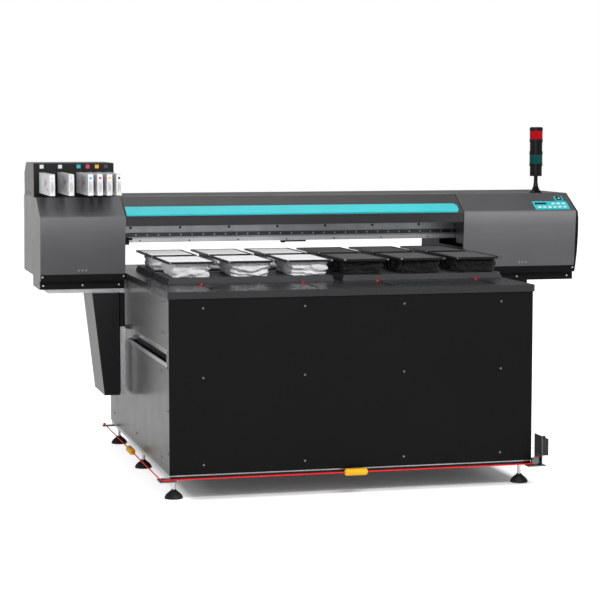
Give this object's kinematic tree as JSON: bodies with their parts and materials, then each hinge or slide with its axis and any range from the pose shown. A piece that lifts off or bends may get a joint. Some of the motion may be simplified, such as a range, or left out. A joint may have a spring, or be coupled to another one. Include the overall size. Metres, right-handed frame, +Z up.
{
  "type": "flatbed garment printer",
  "caption": "Flatbed printer with a travelling gantry, print carriage, table with garment platens, ink rack and signal tower.",
  "frame": {"origin": "on the floor, below the middle of the outer box of the whole machine", "axes": "+X to the right seen from the front, along the gantry; +Y from the front panel to the back; +Z up"},
  "size_m": [2.901, 1.8955, 1.713],
  "materials": {
    "panel_black": "satin",
    "cover_grey": "satin",
    "side_grey": "satin",
    "black_metal": "satin",
    "table_grey": "satin",
    "frame_aluminium": "satin",
    "bright_steel": "brushed",
    "pulley_metal": "satin",
    "black_rubber": "matte",
    "black_plastic": "matte",
    "board_grey": "matte",
    "grip_teal": "satin",
    "stop_red": "satin",
    "white_cloth": "matte",
    "black_cloth": "matte",
    "cartridge_white": "satin",
    "lens_red": "gloss",
    "lens_green": "gloss",
    "rope_red": "gloss",
    "sleeve_yellow": "satin"
  },
  "bodies": {
    "base": {"frame_posts": "frame_aluminium", "frame_rails": "frame_aluminium", "front_panel": "panel_black", "rear_panel": "panel_black", "side_panels": "side_grey", "panel_screws": "bright_steel", "table_top": "table_grey", "groove_stops": "stop_red", "foot_pads": "black_rubber", "foot_screws": "bright_steel", "y_rails": "bright_steel", "pallet_boards": "board_grey", "platens": "board_grey", "hoop_frames": "black_metal", "white_garments": "white_cloth", "black_garments": "black_cloth", "electronics_box": "black_metal", "safety_rope": "rope_red", "rope_brackets": "bright_steel", "rope_switch": "panel_black", "rope_sleeves": "sleeve_yellow"},
    "gantry": {"arm_brackets": "frame_aluminium", "arm_boxes": "black_metal", "left_pod_front": "cover_grey", "right_pod_front": "cover_grey", "pod_covers": "cover_grey", "pod_floors": "black_metal", "left_pod_side": "side_grey", "right_pod_side": "black_metal", "pod_end_plates": "black_metal", "centre_cover": "cover_grey", "gantry_beam": "frame_aluminium", "x_rail": "bright_steel", "drive_motors": "bright_steel", "x_belt": "black_rubber", "cap_station": "black_plastic", "beam_fittings": "black_plastic", "ink_rack": "black_plastic", "ink_tags": "cartridge_white", "tower_body": "black_plastic", "tower_green_lens": "lens_green", "tower_red_lens": "lens_red", "control_panel": "grip_teal", "panel_keys": "cartridge_white"},
    "y_drive_shaft": {"y_drive_shaft": "bright_steel"},
    "x_drive_pulley": {"x_drive_pulley": "pulley_metal"},
    "x_idler_pulley": {"x_idler_pulley": "pulley_metal"},
    "carriage": {"carriage_shell": "black_plastic", "print_heads": "black_plastic"},
    "front_cover": {"front_cover": "cover_grey", "grip_bar": "grip_teal"},
    "power_button": {"power_button": "cartridge_white"},
    "rope_pulley_left": {"rope_pulley_left": "pulley_metal"},
    "rope_pulley_right": {"rope_pulley_right": "pulley_metal"},
    "ink_cartridge_1": {"ink_cartridge_1": "cartridge_white"},
    "ink_cartridge_2": {"ink_cartridge_2": "cartridge_white"},
    "ink_cartridge_3": {"ink_cartridge_3": "cartridge_white"},
    "ink_cartridge_4": {"ink_cartridge_4": "cartridge_white"},
    "ink_cartridge_5": {"ink_cartridge_5": "cartridge_white"},
    "ink_cartridge_6": {"ink_cartridge_6": "cartridge_white"}
  },
  "joints": [
    {"name": "gantry_travel", "type": "slide", "parent": "base", "child": "gantry", "axis": [0, -1, 0], "range_m": [0, 1]},
    {"name": "carriage_travel", "type": "slide", "parent": "gantry", "child": "carriage", "axis": [-1, 0, 0], "range_m": [0, 1.84]},
    {"name": "y_shaft_turn", "type": "hinge", "parent": "gantry", "child": "y_drive_shaft", "pos_m": [-0.1125, 0.2775, 0.584], "axis": [1, 0, 0], "continuous": true},
    {"name": "x_drive_pulley_turn", "type": "hinge", "parent": "gantry", "child": "x_drive_pulley", "pos_m": [1.3175, 0.5575, 1.258], "axis": [0, 0, 1], "continuous": true},
    {"name": "x_idler_pulley_turn", "type": "hinge", "parent": "gantry", "child": "x_idler_pulley", "pos_m": [-1.3455, 0.5575, 1.258], "axis": [0, 0, 1], "continuous": true},
    {"name": "front_cover_hinge", "type": "hinge", "parent": "gantry", "child": "front_cover", "pos_m": [-0.1125, 0.5015, 1.349], "axis": [-1, 0, 0], "range_deg": [0, 60]},
    {"name": "power_button_press", "type": "slide", "parent": "gantry", "child": "power_button", "axis": [0, 0.5137, -0.858], "range_m": [0, 0.002], "stiffness_N_per_m": 400},
    {"name": "rope_pulley_left_turn", "type": "hinge", "parent": "base", "child": "rope_pulley_left", "pos_m": [-1.0277, -0.9177, 0.106], "axis": [0, 0, 1], "continuous": true},
    {"name": "rope_pulley_right_turn", "type": "hinge", "parent": "base", "child": "rope_pulley_right", "pos_m": [0.7775, -0.9325, 0.1208], "axis": [0, 1, 0], "continuous": true},
    {"name": "ink_cartridge_1_pull", "type": "slide", "parent": "gantry", "child": "ink_cartridge_1", "axis": [0, -1, 0], "range_m": [0, 0.2]},
    {"name": "ink_cartridge_2_pull", "type": "slide", "parent": "gantry", "child": "ink_cartridge_2", "axis": [0, -1, 0], "range_m": [0, 0.2]},
    {"name": "ink_cartridge_3_pull", "type": "slide", "parent": "gantry", "child": "ink_cartridge_3", "axis": [0, -1, 0], "range_m": [0, 0.2]},
    {"name": "ink_cartridge_4_pull", "type": "slide", "parent": "gantry", "child": "ink_cartridge_4", "axis": [0, -1, 0], "range_m": [0, 0.2]},
    {"name": "ink_cartridge_5_pull", "type": "slide", "parent": "gantry", "child": "ink_cartridge_5", "axis": [0, -1, 0], "range_m": [0, 0.2]},
    {"name": "ink_cartridge_6_pull", "type": "slide", "parent": "gantry", "child": "ink_cartridge_6", "axis": [0, -1, 0], "range_m": [0, 0.2]}
  ],
  "couplings": [
    {"joint": "y_shaft_turn", "follows": "gantry_travel", "rad_per_m": -41.667},
    {"joint": "x_drive_pulley_turn", "follows": "carriage_travel", "rad_per_m": -47.619},
    {"joint": "x_idler_pulley_turn", "follows": "carriage_travel", "rad_per_m": -47.619}
  ]
}
